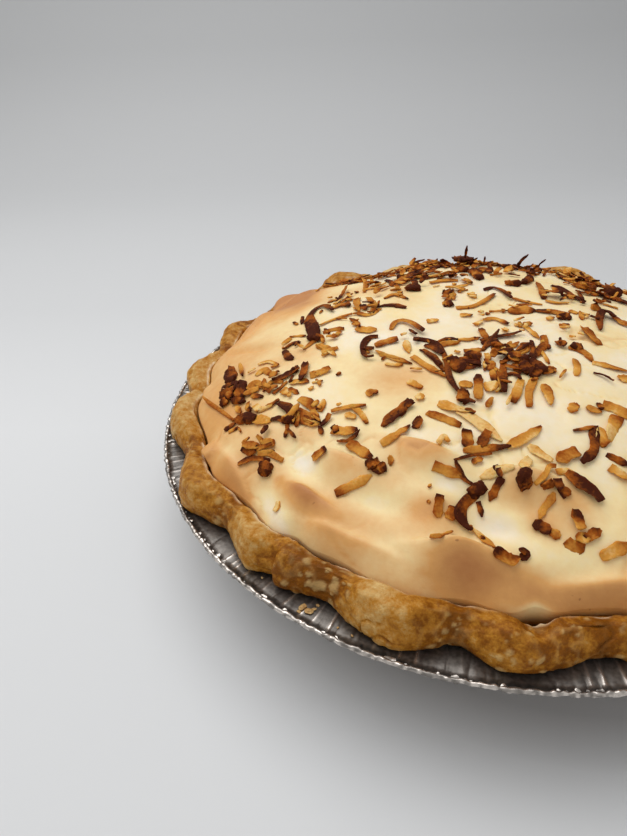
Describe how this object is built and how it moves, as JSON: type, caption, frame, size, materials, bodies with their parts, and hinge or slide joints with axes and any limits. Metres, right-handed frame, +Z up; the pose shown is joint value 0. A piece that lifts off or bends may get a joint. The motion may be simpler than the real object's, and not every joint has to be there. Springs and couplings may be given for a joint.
{
  "type": "meringue pie",
  "caption": "Round meringue pie in a foil tin, with a crimped pastry rim and toasted coconut shreds on a swirled, browned top, for serving as dessert.",
  "frame": {"origin": "middle of the tin's underside, on the surface it stands on", "axes": "+Z up through the middle of the pie; -Y is the front in the picture"},
  "size_m": [0.244, 0.244, 0.0678],
  "materials": {
    "foil": "bright pressed foil, satin to glossy",
    "pastry": "golden-brown baked pastry with pale blisters, slightly glossy",
    "meringue": "baked meringue, white in the hollows and tan on the swirls",
    "coconut": "toasted coconut, golden to nearly black"
  },
  "bodies": {
    "root": {"foil_tin": "foil", "crust": "pastry", "meringue": "meringue"}
  },
  "joints": []
}
